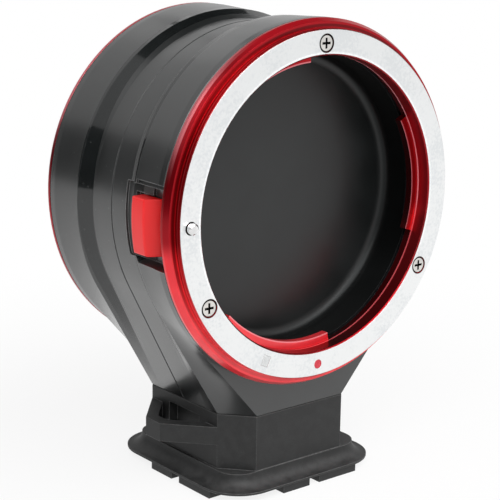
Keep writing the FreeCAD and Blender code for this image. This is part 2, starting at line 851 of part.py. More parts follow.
def make_foot(label):
    """The moulded foot: eight-sided block, strap loops, sloping flange and tread."""
    body = add_body(label)
    corner_front = (d.neck_front_half, d.neck_half_depth)
    corner_side = (d.neck_half_width, neck_side_half)
    slope = (d.neck_half_depth - neck_side_half) / (d.neck_half_width - d.neck_front_half)

    block = add_sketch(body, "block_outline", "XY_Plane", out=d.flange_base)
    polygon(block, mirrored([corner_side, corner_front]))
    pad(body, "block", block, neck_base - d.flange_base)
    dress(body, "Chamfer", "block_edge", lambda e: at_level(e, "Z", neck_base.number), d.foot_edge)

    ears = add_sketch(body, "ear_outline", "XY_Plane", out=d.ear_base)
    ear_end = neck_side_half - slope * (d.ear_half - d.neck_half_width)
    polygon(ears, mirrored([(d.ear_half, ear_end), corner_front]))
    pad(body, "ears", ears, d.ear_height)

    rim = add_sketch(body, "rim_outline", "XY_Plane", out=d.flange_base)
    rounded_square(rim, d.flange_half, d.flange_corner)
    pad(body, "rim", rim, d.flange_rim)
    shoulder = add_sketch(body, "shoulder_outline", "XY_Plane", out=rim_top)
    rounded_square(shoulder, d.flange_shoulder, d.flange_shoulder_corner)
    pad(body, "shoulder", shoulder, d.flange_shoulder_rise)
    shoulder_reach = d.flange_shoulder.number + TOLERANCE
    dress(body, "Fillet", "cove",
          lambda e: at_level(e, "Z", rim_top.number) and farthest(e) < shoulder_reach, d.flange_cove)
    rim_reach = d.flange_half.number - TOLERANCE
    dress(body, "Fillet", "rim_round",
          lambda e: at_level(e, "Z", d.flange_base.number) and farthest(e) > rim_reach, d.flange_round)

    tread = add_sketch(body, "tread_outline", "XY_Plane")
    lead, trail, reach = d.tread_lead, d.tread_trail, d.tread_half
    quarters = pinwheel([(-trail, -lead), (-trail, -reach), (lead, -reach)])
    polygon(tread, [point for quarter in quarters for point in quarter])
    pad(body, "tread", tread, d.flange_base)
    lock_notches = add_sketch(body, "lock_notch_outline", "XY_Plane")
    near, far = d.tread_notch_start, d.tread_notch_start + d.tread_notch_width
    inner, outer = d.tread_half - d.tread_notch_depth, d.tread_half + d.overcut
    for quarter in pinwheel([(near, -outer), (far, -outer), (far, -inner), (near, -inner)]):
        polygon(lock_notches, quarter)
    pocket(body, "lock_notches", lock_notches, d.flange_base, reverse=True)

    bar_run = slant(slope) * d.ear_bar
    ear_top = d.ear_base + d.ear_height
    loops = add_sketch(body, "loop_outline", "XY_Plane", out=ear_top)
    notches = add_sketch(body, "notch_outline", "XY_Plane", out=ear_top + d.notch_above)
    wide = neck_side_half - bar_run
    narrow = ear_end - bar_run + slope * d.ear_bar
    for side in (-1, 1):
        polygon(loops, [
            (side * d.neck_half_width, -wide),
            (side * (d.ear_half - d.ear_bar), -narrow),
            (side * (d.ear_half - d.ear_bar), narrow),
            (side * d.neck_half_width, wide),
        ])
        rectangle(notches, side * d.notch_inner, side * (d.neck_half_width + d.foot_edge),
                  -d.notch_half, d.notch_half)
    pocket(body, "loops", loops, d.ear_height + d.notch_below)
    pocket(body, "notches", notches, d.ear_height + d.notch_above + d.notch_below)

    wells = add_sketch(body, "well_outline", "XY_Plane")
    holes = add_sketch(body, "hole_outline", "XY_Plane")
    for x in (-1, 1):
        for y in (-1, 1):
            circle(wells, x * d.foot_screw_pitch, y * d.foot_screw_pitch,
                   d.foot_screw_head + d.shank_clearance)
            circle(holes, x * d.foot_screw_pitch, y * d.foot_screw_pitch,
                   d.foot_screw_shank + d.shank_clearance)
    pocket(body, "wells", wells, d.foot_screw_seat, reverse=True)
    pocket(body, "holes", holes, neck_base + d.overcut, reverse=True)
    return body


nodes = [make_foot("strap_foot"), make_foot_screws("foot_screws"), make_shell_screws("shell_screws")]
for side_name, half_turn in SIDES:
    nodes.append(make_shell(f"{side_name}_shell", half_turn))
    nodes.append(make_ring(f"{side_name}_mount_ring", half_turn))
    nodes.append(make_face_screws(f"{side_name}_mount_screws", half_turn))
    nodes.append(make_leaf_spring(f"{side_name}_bayonet_spring", half_turn))
    nodes.append(make_button(f"{side_name}_release_button", half_turn))
    nodes.append(make_pin(f"{side_name}_lock_pin", half_turn))
    nodes.append(make_coil(f"{side_name}_return_spring", half_turn))
    nodes.extend(make_marks(f"{side_name}_index_dot", f"{side_name}_index_square", half_turn))
doc.recompute()

for obj in doc.Objects:
    if "Invalid" in obj.State or "Error" in obj.State:
        raise RuntimeError(f"{obj.Label} failed to build: {obj.State}")
for node in nodes:
    if node.Shape.isNull() or not node.Shape.isValid() or not node.Shape.Solids:
        raise RuntimeError(f"{node.Label} has no sound solid")

os.makedirs("parts", exist_ok=True)
for node in nodes:
    node.Shape.exportStep(f"parts/{node.Label}.step")
    box = node.Shape.BoundBox
    spans = ((box.XMin, box.XMax), (box.YMin, box.YMax), (box.ZMin, box.ZMax))
    reach = ", ".join(f"{low:.2f} to {high:.2f}" for low, high in spans)
    print(f"{node.Label}: {len(node.Shape.Solids)} solids, {node.Shape.Volume:.1f} mm3, {reach}")
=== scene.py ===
"""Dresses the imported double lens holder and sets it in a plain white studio."""

import logging
import math
from collections.abc import Mapping, Sequence
from dataclasses import dataclass, field
from enum import Enum
from typing import Any

import bpy
from mathutils import Matrix, Vector


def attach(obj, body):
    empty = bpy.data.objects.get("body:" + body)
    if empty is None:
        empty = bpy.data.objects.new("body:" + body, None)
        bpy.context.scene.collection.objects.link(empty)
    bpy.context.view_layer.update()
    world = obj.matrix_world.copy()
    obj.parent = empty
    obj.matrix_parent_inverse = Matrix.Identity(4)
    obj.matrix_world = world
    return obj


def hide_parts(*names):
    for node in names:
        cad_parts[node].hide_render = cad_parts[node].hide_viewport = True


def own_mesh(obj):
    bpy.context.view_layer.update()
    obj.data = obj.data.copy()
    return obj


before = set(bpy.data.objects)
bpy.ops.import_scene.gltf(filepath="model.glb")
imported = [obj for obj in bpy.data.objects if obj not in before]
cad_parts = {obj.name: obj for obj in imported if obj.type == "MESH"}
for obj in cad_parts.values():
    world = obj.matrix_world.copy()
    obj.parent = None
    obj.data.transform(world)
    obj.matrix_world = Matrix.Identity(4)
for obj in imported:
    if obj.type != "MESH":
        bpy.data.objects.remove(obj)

log = logging.getLogger("double_lens_holder")

Colour = tuple[float, float, float]
Span = tuple[float, float]
Socket = bpy.types.NodeSocket

MM = 0.001
SOCKET_HEIGHT = 54.0 * MM
FACE_DISTANCE = 20.35 * MM
FACE_SCREW_CIRCLE = 29.1 * MM
FACE_SCREW_ANGLES = (0.0, 120.0, 240.0)
EDGE_SAMPLES = 6
SPECK_CORE = 0.4
MIX_FIRST, MIX_SECOND, MIX_RESULT = 6, 7, 2
SOFT_CLOUDS: Span = (0.3, 0.7)
WHITE: Colour = (1.0, 1.0, 1.0)


class Side(Enum):
    """The two ends of the holder, named by the way that their sockets face."""

    FRONT = "front"
    REAR = "rear"

    def node(self, piece: str) -> str:
        """The CAD node of a piece on this side."""
        return f"{self.value}_{piece}"


class Op(Enum):
    """The arithmetic that a Math node does."""

    ADD = "ADD"
    SUBTRACT = "SUBTRACT"
    MULTIPLY = "MULTIPLY"
    POWER = "POWER"
    LEAST = "MINIMUM"
    MOST = "MAXIMUM"
    SIZE = "ABSOLUTE"
    SINE = "SINE"


class Value:
    """A number that changes over a surface: a socket with arithmetic."""

    def __init__(self, graph: "Graph", socket: Socket) -> None:
        """Wraps one output socket of a graph."""
        self.graph = graph
        self.socket = socket

    def _math(self, op: Op, *terms: "Value | float", clamp: bool = False) -> "Value":
        """Adds a Math node.

        Args:
            op: What the node does.
            *terms: The values or numbers that it works on.
            clamp: Whether its result is held between nought and one.

        Returns:
            The node's result.
        """
        settings = {"operation": op.value, "use_clamp": clamp}
        made = self.graph.node("ShaderNodeMath", settings, dict(enumerate(terms)))
        return Value(self.graph, made.outputs[0])

    def __add__(self, other: "Value | float") -> "Value":
        """The sum of two values."""
        return self._math(Op.ADD, self, other)

    __radd__ = __add__

    def __sub__(self, other: "Value | float") -> "Value":
        """This value less another."""
        return self._math(Op.SUBTRACT, self, other)

    def __rsub__(self, other: "Value | float") -> "Value":
        """Another value less this one."""
        return self._math(Op.SUBTRACT, other, self)

    def __mul__(self, other: "Value | float") -> "Value":
        """The product of two values."""
        return self._math(Op.MULTIPLY, self, other)

    __rmul__ = __mul__

    def __pow__(self, power: float) -> "Value":
        """This value to a power."""
        return self._math(Op.POWER, self, power)

    def __abs__(self) -> "Value":
        """The size of this value without its sign."""
        return self._math(Op.SIZE, self)

    def sine(self) -> "Value":
        """The sine of this value."""
        return self._math(Op.SINE, self)

    def least(self, other: "Value | float") -> "Value":
        """The smaller of two values."""
        return self._math(Op.LEAST, self, other)

    def most(self, other: "Value | float") -> "Value":
        """The larger of two values."""
        return self._math(Op.MOST, self, other)

    def clamped(self) -> "Value":
        """This value held between nought and one."""
        return self._math(Op.MULTIPLY, self, 1.0, clamp=True)

    def ranged(self, low: float, high: float) -> "Value":
        """The number that lies this share of the way from low to high."""
        return low + (high - low) * self

    def between(self, low: float, high: float) -> "Value":
        """A smooth rise from nought at low to one at high.

        Args:
            low: The value at which the rise starts, which may be above high.
            high: The value at which it ends.

        Returns:
            The risen value.
        """
        made = self.graph.node(
            "ShaderNodeMapRange",
            {"interpolation_type": "SMOOTHSTEP"},
            {"Value": self, "From Min": low, "From Max": high},
        )
        return Value(self.graph, made.outputs["Result"])

    def beyond(self, edge: float, blend: float) -> "Value":
        """One above an edge and nought below it, with a blend on either side."""
        return self.between(edge - blend, edge + blend)

    def within(self, edge: float, blend: float) -> "Value":
        """One below an edge and nought above it, with a blend on either side."""
        return self.between(edge + blend, edge - blend)

    def band(self, middle: float, half: float) -> "Value":
        """One near a middle value and nought beyond half a width from it."""
        return abs(self - middle).between(half, 0.5 * half)


class Graph:
    """The shader nodes of one material or of the world."""

    def __init__(self, owner: bpy.types.Material | bpy.types.World) -> None:
        """Empties the owner's node tree.

        Args:
            owner: The material or world whose tree is filled.
        """
        owner.use_nodes = True
        self.tree = owner.node_tree
        self.tree.nodes.clear()

    def node(
        self,
        kind: str,
        settings: Mapping[str, Any] | None = None,
        sockets: Mapping[str | int, Any] | None = None,
    ) -> bpy.types.Node:
        """Adds a node.

        Args:
            kind: The node's type.
            settings: Its settings, set before its sockets.
            sockets: A number, colour, vector, value or socket for each input.

        Returns:
            The new node.
        """
        made = self.tree.nodes.new(kind)
        for name, setting in (settings or {}).items():
            setattr(made, name, setting)
        for name, given in (sockets or {}).items():
            self._feed(made.inputs[name], given)
        return made

    def _feed(self, socket: Socket, given: Any) -> None:
        """Links a socket to another, or sets it to something plain.

        Args:
            socket: The input to feed.
            given: A value or socket to link, or a number, colour or vector to set.
        """
        if isinstance(given, Value):
            given = given.socket
        if isinstance(given, Socket):
            self.tree.links.new(given, socket)
        elif socket.type == "RGBA":
            socket.default_value = (*given, 1.0)
        else:
            socket.default_value = given

    def value(self, kind: str, output: str | int, **parts: Mapping) -> Value:
        """One output of a new node as a value, with node's settings and sockets as parts."""
        return Value(self, self.node(kind, **parts).outputs[output])

    def place(self) -> Socket:
        """The point on the surface in the part's own frame, in metres."""
        return self.node("ShaderNodeTexCoord").outputs["Object"]

    def along(self, place: Socket) -> tuple[Value, Value, Value]:
        """The three coordinates of a point or direction.

        Args:
            place: The point or direction.

        Returns:
            Its x, y and z.
        """
        split = self.node("ShaderNodeSeparateXYZ", sockets={"Vector": place})
        x, y, z = (Value(self, socket) for socket in split.outputs)
        return x, y, z

    def rise(self, place: Socket) -> Value:
        """The height of a point above the socket axis."""
        return self.along(place)[2] - SOCKET_HEIGHT

    def out(self, place: Socket) -> Value:
        """The distance of a point from the middle plane, where the shells meet."""
        return abs(self.along(place)[1])

    def radius(self, place: Socket) -> Value:
        """The distance of a point from the socket axis."""
        x, rise = self.along(place)[0], self.rise(place)
        return (x * x + rise * rise) ** 0.5

    def screw_radius(self, place: Socket) -> Value:
        """The distance of a point from the axis of the nearest screw in a ring's face.

        Args:
            place: The point on the surface.

        Returns:
            The distance in metres.
        """
        x, height = self.along(place)[0], self.rise(place)
        nearest = None
        for angle in FACE_SCREW_ANGLES:
            across = x - FACE_SCREW_CIRCLE * math.sin(math.radians(angle))
            rise = height - FACE_SCREW_CIRCLE * math.cos(math.radians(angle))
            squared = across * across + rise * rise
            nearest = squared if nearest is None else nearest.least(squared)
        return nearest ** 0.5

    def stretched(self, place: Socket, scale: Sequence[float]) -> Socket:
        """A point with each coordinate multiplied, to draw a pattern out one way.

        Args:
            place: The point on the surface.
            scale: What each coordinate is multiplied by.

        Returns:
            The new point.
        """
        sockets = {0: place, 1: Vector(scale)}
        made = self.node("ShaderNodeVectorMath", {"operation": "MULTIPLY"}, sockets)
        return made.outputs["Vector"]

    def noise(self, place: Socket, size: float, detail: float = 2.0) -> Value:
        """Cloudy variation about a half, in clouds of a size in metres with finer layers."""
        sockets = {"Vector": place, "Scale": 1.0 / size, "Detail": detail}
        return self.value("ShaderNodeTexNoise", "Fac", sockets=sockets)

    def specks(self, place: Socket, spacing: float, radius: float) -> Value:
        """Scattered round spots.

        Args:
            place: The point on the surface.
            spacing: The mean distance between spots in metres.
            radius: The size of a spot as a share of the spacing.

        Returns:
            One on a spot and nought off it.
        """
        sockets = {"Vector": place, "Scale": 1.0 / spacing}
        distance = self.value("ShaderNodeTexVoronoi", "Distance", sockets=sockets)
        return distance.between(radius, SPECK_CORE * radius)

    def mixed(self, share: Value, first: Socket | Colour, second: Socket | Colour) -> Socket:
        """A colour between two others.

        Args:
            share: Nought for the first colour and one for the second.
            first: The first colour.
            second: The second colour.

        Returns:
            The mixed colour.
        """
        sockets = {"Factor": share, MIX_FIRST: first, MIX_SECOND: second}
        made = self.node("ShaderNodeMix", {"data_type": "RGBA"}, sockets)
        return made.outputs[MIX_RESULT]

    def rounded(self, radius: float) -> Socket:
        """The surface's normal with its sharp edges rounded to a radius in metres."""
        made = self.node("ShaderNodeBevel", {"samples": EDGE_SAMPLES}, {"Radius": radius})
        return made.outputs["Normal"]

    def flat(self) -> Socket:
        """The normal of the bare face, with no edge rounded."""
        return self.node("ShaderNodeNewGeometry").outputs["True Normal"]

    def upward(self) -> Value:
        """How far the surface faces up: one on a level top and nought on an upright wall."""
        return self.along(self.flat())[2]

    def edges(self, rounded: Socket) -> Value:
        """How far a rounded normal leaves the flat one.

        Args:
            rounded: The rounded normal.

        Returns:
            Nought off the edges, and more on a sharper edge.
        """
        sockets = {0: rounded, 1: self.flat()}
        made = self.node("ShaderNodeVectorMath", {"operation": "DOT_PRODUCT"}, sockets)
        return 1.0 - Value(self, made.outputs["Value"])

    def bump(self, height: Value, depth: float, normal: Socket | None = None) -> Socket:
        """A normal tilted by a height.

        Args:
            height: The height, as a share of the depth.
            depth: The depth in metres.
            normal: The normal to tilt, or none for the surface's own.

        Returns:
            The tilted normal.
        """
        sockets = {"Height": height, "Distance": depth}
        if normal is not None:
            sockets["Normal"] = normal
        return self.node("ShaderNodeBump", sockets=sockets).outputs["Normal"]

    def surface(self, **sockets: Any) -> None:
        """Ends the graph in a Principled BSDF.

        Args:
            **sockets: What each of its sockets is given, named with underscores.
        """
        named = {name.replace("_", " ").title(): given for name, given in sockets.items()}
        for written, real in (("Ior", "IOR"), ("Coat Ior", "Coat IOR")):
            if written in named:
                named[real] = named.pop(written)
        shader = self.node("ShaderNodeBsdfPrincipled", sockets=named)
        self.node("ShaderNodeOutputMaterial", sockets={"Surface": shader.outputs["BSDF"]})


@dataclass(frozen=True)
class Finish:
    """How one kind of surface looks."""

    name: str
    slot: str

    def material(self) -> bpy.types.Material:
        """Makes the finish's material.

        Returns:
            The material with its nodes.
        """
        made = bpy.data.materials.new(self.name)
        self.paint(Graph(made))
        return made

    def paint(self, graph: Graph) -> None:
        """Fills a material's graph."""
        raise NotImplementedError


@dataclass(frozen=True)
class MouldedPlastic(Finish):
    """Dark moulded plastic with a fine grain, a little dust and pale rubbed edges."""

    dark: Colour = (0.0056, 0.0066, 0.0067)
    light: Colour = (0.0092, 0.0107, 0.0109)
    rubbed: Colour = (0.10, 0.10, 0.10)
    roughness: float = 0.42
    polish: float = 0.16
    ior: float = 1.5
    skin: float = 0.0
    skin_roughness: float = 0.22
    skin_ior: float = 1.55
    unevenness: float = 0.08
    cloud: float = 9.0 * MM
    grain: float = 0.16 * MM
    grain_depth: float = 0.004 * MM
    edge_radius: float = 0.25 * MM
    edge_rub: float = 4.0
    rubs_per_cloud: int = 3
    scuffs_per_cloud: int = 6
    dust_spacing: float = 1.6 * MM
    dust: float = 0.10
    dust_share: float = 0.25
    settled: float = 0.0
    settling: Span = (0.2, 0.9)
    scuffing: float = 0.0
    scuffed: Span = (0.58, 0.80)

    def body(self, graph: Graph, place: Socket, clouds: Value) -> Socket:
        """The plastic's own colour, in soft clouds."""
        return graph.mixed(clouds.between(*SOFT_CLOUDS), self.dark, self.light)

    def gloss(self, graph: Graph, place: Socket) -> Value | float:
        """How much smoother the mould left the surface here, from nought to one."""
        return 0.0

    def cover(self, graph: Graph, place: Socket) -> Value | float:
        """How much of the glossy skin lies here, from nought to one."""
        return self.skin

    def coarseness(self, graph: Graph, place: Socket) -> Value | float:
        """The mean roughness here."""
        return self.roughness

    def metal_shade(self, graph: Graph, place: Socket) -> Value | float:
        """How much of the surface is turned to dark metal here as painted shade, from nought to
        one.
        """
        return 0.0

    def reached(self, graph: Graph, place: Socket) -> Value | float:
        """How far hands and dust reach here, from nought to one."""
        return 1.0

    def paint(self, graph: Graph) -> None:
        """Fills a material's graph.

        Args:
            graph: The graph to fill.
        """
        place = graph.place()
        clouds = graph.noise(place, self.cloud, detail=3.0)
        grain = graph.noise(place, self.grain)
        rounded = graph.rounded(self.edge_radius)
        smooth = self.gloss(graph, place)
        rough = self.coarseness(graph, place) + self.unevenness * (clouds - 0.5)
        wear = self._wear(graph, place, clouds, rounded) * self.reached(graph, place)
        graph.surface(
            base_color=graph.mixed(wear.clamped(), self.body(graph, place, clouds), self.rubbed),
            metallic=self.metal_shade(graph, place),
            roughness=rough - smooth * (self.roughness - self.polish),
            ior=self.ior,
            coat_weight=self.cover(graph, place),
            coat_roughness=self.skin_roughness,
            coat_ior=self.skin_ior,
            normal=graph.bump(grain * (1.0 - smooth), self.grain_depth, rounded),
        )

    def _wear(self, graph: Graph, place: Socket, clouds: Value, rounded: Socket) -> Value:
        """How much of the surface is rubbed, scuffed or dusty.

        Args:
            graph: The graph to add to.
            place: The point on the surface.
            clouds: The plastic's soft clouds.
            rounded: The normal with its edges rounded.

        Returns:
            Nought where the plastic is clean.
        """
        edges = (graph.edges(rounded) * self.edge_rub).clamped()
        rub = edges * graph.noise(place, self.cloud / self.rubs_per_cloud)
        scuffs = graph.noise(place, self.cloud / self.scuffs_per_cloud, detail=5.0)
        dust = graph.specks(place, self.dust_spacing, self.dust) * self.dust_share
        film = graph.upward().between(*self.settling) * self.settled
        return rub + scuffs.between(*self.scuffed) * self.scuffing + (dust + film) * clouds


@dataclass(frozen=True)
class WaistedPlastic(MouldedPlastic):
    """Moulded plastic whose sloping waist faces are smoother than the rest, and whose edges round
    the release are painted pale, partly as wear and dust and partly as painted highlight.
    """

    # pale colour of the edges and specks round the release: partly wear and dust, partly painted
    # highlight
    rubbed: Colour = (0.50, 0.51, 0.51)
    # painted light: the paler colour of the release recess's floor, which lies in shade
    recess_light: Colour = (0.046, 0.048, 0.048)
    unevenness: float = 0.14
    grain_depth: float = 0.008 * MM
    polish: float = 0.07
    skin: float = 0.9
    waist_skin: float = 0.35
    bare_skin: float = 0.08
    seam: Span = (0.125 * MM, 0.25 * MM)
    release_reach: Span = (11.5 * MM, 10.5 * MM)
    release_side: Span = (29.0 * MM, 30.0 * MM)
    release_floor: float = 31.0 * MM
    waist_floor: float = 5.8 * MM
    waist_crest: float = 8.7 * MM
    neck: Span = (22.0 * MM, 34.0 * MM)
    blend: float = 0.15 * MM
    socket_edge: Span = (27.35 * MM, 27.65 * MM)
    socket_fillet: Span = (8.06 * MM, 8.7 * MM)
    socket_roughness: float = 0.40
    # painted shade: the share of the socket's wall that is turned to dark metal
    socket_shade: float = 0.8

    def body(self, graph: Graph, place: Socket, clouds: Value) -> Socket:
        """The plastic's own colour, with painted light on the floor of the recess that the release
        slides in, which is painted paler.

        Args:
            graph: The graph to add to.
            place: The point on the surface.
            clouds: The plastic's soft clouds.

        Returns:
            The colour.
        """
        # painted light on the floor of the release recess
        recess_lit = graph.radius(place).within(self.release_floor, self.blend)
        recess_lit *= self._outside(graph, place) * self._near_release(graph, place)
        return graph.mixed(recess_lit, super().body(graph, place, clouds), self.recess_light)

    def gloss(self, graph: Graph, place: Socket) -> Value | float:
        """Where the waist's two sloping faces are, above the neck.

        Args:
            graph: The graph to add to.
            place: The point on the surface.

        Returns:
            One on the slopes and nought off them.
        """
        out = graph.out(place)
        slope = out.beyond(self.waist_floor, self.blend) * out.within(self.waist_crest, self.blend)
        above = graph.along(place)[2].between(*self.neck)
        return slope * above * self._outside(graph, place)

    def cover(self, graph: Graph, place: Socket) -> Value | float:
        """The glossy skin, thin on the waist's slopes, scant in the socket and at the seam.

        Args:
            graph: The graph to add to.
            place: The point on the surface.

        Returns:
            How much of the skin lies here, from nought to one.
        """
        shown = graph.out(place).between(*self.seam)
        full = self.gloss(graph, place).ranged(self.skin, self.waist_skin)
        return self.bare_skin + (full - self.bare_skin) * self._outside(graph, place) * shown

    def coarseness(self, graph: Graph, place: Socket) -> Value | float:
        """The mean roughness, which is less in the socket."""
        return self._outside(graph, place).ranged(self.socket_roughness, self.roughness)

    def metal_shade(self, graph: Graph, place: Socket) -> Value | float:
        """The socket's wall, turned to dark metal as painted shade, which keeps stray light down.
        """
        wall = graph.out(place).between(*self.socket_fillet)
        return self.socket_shade * wall * (1.0 - self._outside(graph, place))

    def reached(self, graph: Graph, place: Socket) -> Value | float:
        """One round the release button, where the edges are painted pale, partly as a thumb's
        rubbing and partly as painted highlight.
        """
        return self._near_release(graph, place)

    def _near_release(self, graph: Graph, place: Socket) -> Value:
        """One round the release button."""
        level = abs(graph.rise(place)).between(*self.release_reach)
        return level * abs(graph.along(place)[0]).between(*self.release_side)

    def _outside(self, graph: Graph, place: Socket) -> Value:
        """One outside the socket and nought in it."""
        return graph.radius(place).between(*self.socket_edge)


@dataclass(frozen=True)
class AnodisedRing(Finish):
    """Turned aluminium in a red dye with its face cut bare, with light and shade painted in by
    height: darker, more metallic and less coated above, paler and more diffuse below.
    """

    dye: Colour = (0.92, 0.034, 0.046)
    deep_dye: Colour = (0.82, 0.022, 0.034)
    # painted shade: the darker red laid on the upper part of the ring
    shaded_dye: Colour = (0.42, 0.005, 0.012)
    # painted highlight: the pale pink of the bright lines on the ring's turned faces
    painted_highlight: Colour = (0.95, 0.34, 0.38)
    shadow: Colour = (0.10, 0.001, 0.003)
    bare: Colour = (0.92, 0.93, 0.93)
    # grey of the bare face's smudges, also used for the painted shade toward its top
    smudge_and_shade: Colour = (0.82, 0.84, 0.85)
    gap: Colour = (0.01, 0.01, 0.01)
    cut: Span = (0.03 * MM, 0.01 * MM)
    throat: float = 27.6 * MM
    tabs: float = 26.9 * MM
    tab_end: float = 25.58 * MM
    tab_corner: Span = (25.78 * MM, 25.68 * MM)
    tab_front: float = 3.1 * MM
    blend: float = 0.05 * MM
    # depths and radii of the painted highlight lines and painted shade lines on the turned faces
    throat_highlight: float = 2.80 * MM
    wall_highlight: float = 0.75 * MM
    wall_shade_line: float = 1.10 * MM
    step_shade_line: float = 32.10 * MM
    step_shade_half: float = 0.34 * MM
    line_half: float = 0.20 * MM
    bevel_edge: float = 32.78 * MM
    # depth beyond which the bevel's outer rim gets a painted highlight
    rim_highlight_depth: float = 2.05 * MM
    screw_gap: float = 1.55 * MM
    screw_gap_half: float = 0.21 * MM
    pin_circle: float = 29.25 * MM
    pin_gap: float = 1.07 * MM
    pin_gap_half: float = 0.14 * MM
    pin_side: Span = (0.0, MM * MM)
    cloud: float = 6.0 * MM
    fleck: float = 0.5 * MM
    groove: float = 0.22 * MM
    groove_depth: float = 0.0012 * MM
    edge_radius: float = 0.12 * MM
    roughness: float = 0.30
    unevenness: float = 0.10
    layer: float = 0.5
    # share of the clear layer kept on the upper part, less there as painted shade
    upper_layer_share: float = 0.3
    layer_roughness: float = 0.16
    layer_ior: float = 1.6
    # metallic share by height: more above as painted shade, less below as painted light
    metal_above: float = 0.94
    metal_below: float = 0.42
    # less metal, and so a paler diffuse red, on the throat's painted highlight line, the upper
    # throat and the top of the bevel, as painted light
    lip_lit: float = 0.6
    throat_lit: float = 0.45
    top_lit: float = 0.6
    # painted shade: how much greyer the bare face grows toward its top
    face_shade_above: float = 0.3
    throat_shade: Span = (0.85, 0.35)
    groove_shade: Span = (0.25, 0.75)
    bevel_shade: float = 0.25
    throat_light: Span = (0.3, 1.0)
    tab_light: float = 0.6
    wall_light: float = 0.30
    rim_highlight_share: float = 0.45
    dye_clouds: Span = (0.35, 0.65)
    dull_clouds: Span = (0.18, 0.42)
    # the heights over which the painted shade on the upper part sets in
    thinning: Span = (-22.0 * MM, -4.0 * MM)
    upper_shade_rise: Span = (-6.0 * MM, -2.0 * MM)
    # heights over which the outer rim's painted highlight lies
    rim_highlight_rise: Span = (7.0 * MM, 14.0 * MM)
    edge_top: Span = (31.0 * MM, 23.0 * MM)
    face_shade_rise: Span = (-5.0 * MM, 28.0 * MM)

    def paint(self, graph: Graph) -> None:
        """Fills a material's graph.

        Args:
            graph: The graph to fill.
        """
        place = graph.place()
        depth, rise = self._depth(graph, place), graph.rise(place)
        throat, _ = self._inner(graph, place)
        bare = depth.between(*self.cut)
        # painted shade by height: the upper part gets the darker dye, more metal and less coat
        thin, upper_shade = rise.between(*self.thinning), rise.between(*self.upper_shade_rise)
        clouds = graph.noise(place, self.cloud, detail=4.0)
        flecks = graph.noise(place, self.fleck)
        lines = (graph.radius(place) * (math.tau / self.groove)).sine() * 0.5 + 0.5
        full = graph.mixed(clouds.between(*self.dye_clouds), self.deep_dye, self.dye)
        turned = self._turned(graph, place, graph.mixed(upper_shade, full, self.shaded_dye))
        # the bare face's random smudges, plus painted shade that greys it toward its top
        dull = (clouds * flecks).between(*self.dull_clouds)
        dull += self.face_shade_above * rise.between(*self.face_shade_rise)
        metal = graph.mixed(dull.clamped(), self.bare, self.smudge_and_shade)
        faced = graph.mixed(self._gaps(graph, place), metal, self.gap)
        # less metal where light is painted: the throat's highlight line, the upper throat and the
        # top of the bevel
        lip = throat * depth.band(self.throat_highlight, self.line_half)
        top = self._bevel(graph, place) * (1.0 - rise.between(*self.edge_top))
        matt = (self.throat_lit * throat * thin + self.top_lit * top).clamped()
        undyed = bare.most(throat)
        # metallic by height, more above as painted shade and less below as painted light
        clear = thin.ranged(self.metal_below, self.metal_above)
        metallic = clear + (1.0 - clear) * undyed
        rounded = graph.rounded(self.edge_radius)
        graph.surface(
            base_color=graph.mixed(bare, turned, faced),
            metallic=metallic * (1.0 - self.lip_lit * lip) * (1.0 - matt),
            roughness=self.roughness + self.unevenness * bare * (flecks - 0.5),
            coat_weight=(1.0 - undyed) * upper_shade.ranged(self.layer, self.layer * self.upper_layer_share),
            coat_roughness=self.layer_roughness,
            coat_ior=self.layer_ior,
            normal=graph.bump(lines + flecks * bare, self.groove_depth, rounded),
        )

    def _depth(self, graph: Graph, place: Socket) -> Value:
        """How far a point lies behind the ring's face."""
        return FACE_DISTANCE - graph.out(place)

    def _bevel(self, graph: Graph, place: Socket) -> Value:
        """One on the bevel and rim outside the ring's step."""
        return graph.radius(place).beyond(self.bevel_edge, self.blend)

    def _inner(self, graph: Graph, place: Socket) -> tuple[Value, Value]:
        """Finds the faces inside the ring.

        Args:
            graph: The graph to add to.
            place: The point on the surface.

        Returns:
            One on the throat's wall, and one on the tabs.
        """
        radius = graph.radius(place)
        tab = radius.within(self.tabs, self.blend)
        return radius.within(self.throat, self.blend) * (1.0 - tab), tab

    def _gaps(self, graph: Graph, place: Socket) -> Value:
        """Finds where the bare face meets the dark gaps round the screws and the pin.

        Args:
            graph: The graph to add to.
            place: The point on the surface.

        Returns:
            One on the gaps' edges.
        """
        x, y, _ = graph.along(place)
        across, rise = abs(x) - self.pin_circle, graph.rise(place)
        round_pin = ((across * across + rise * rise) ** 0.5).band(self.pin_gap, self.pin_gap_half)
        pin_side = (x * y).between(*self.pin_side)
        round_screw = graph.screw_radius(place).band(self.screw_gap, self.screw_gap_half)
        return round_screw.most(round_pin * pin_side)

    def _turned(self, graph: Graph, place: Socket, dyed: Socket) -> Socket:
        """The dye with light and shade painted in: bright lines and dark lines on its turned faces,
        a dark throat, dark tab ends and a darker upper bevel.

        Args:
            graph: The graph to add to.
            place: The point on the surface.
            dyed: The dye's colour.

        Returns:
            The colour of the dyed faces.
        """
        radius, rise = graph.radius(place), graph.rise(place)
        depth = self._depth(graph, place)
        throat, tab = self._inner(graph, place)
        outside = (1.0 - throat) * (1.0 - tab)
        thin, upper_shade = rise.between(*self.thinning), rise.between(*self.upper_shade_rise)
        below_top = rise.between(*self.edge_top)
        # painted shade on either side of the throat's painted highlight line
        behind = depth.between(self.throat_highlight, self.throat_highlight + 2.0 * self.line_half)
        before = depth.between(self.throat_highlight, self.throat_highlight - 2.0 * self.line_half)
        # painted shade near the face, and painted shade lines on the wall and the step
        rim = depth.between(self.wall_highlight - self.line_half, 0.0)
        groove = depth.band(self.wall_shade_line, self.line_half)
        groove += radius.band(self.step_shade_line, self.step_shade_half)
        front = depth.within(self.tab_front, self.blend)
        end = radius.within(self.tab_end, self.blend)
        bevel = self._bevel(graph, place)
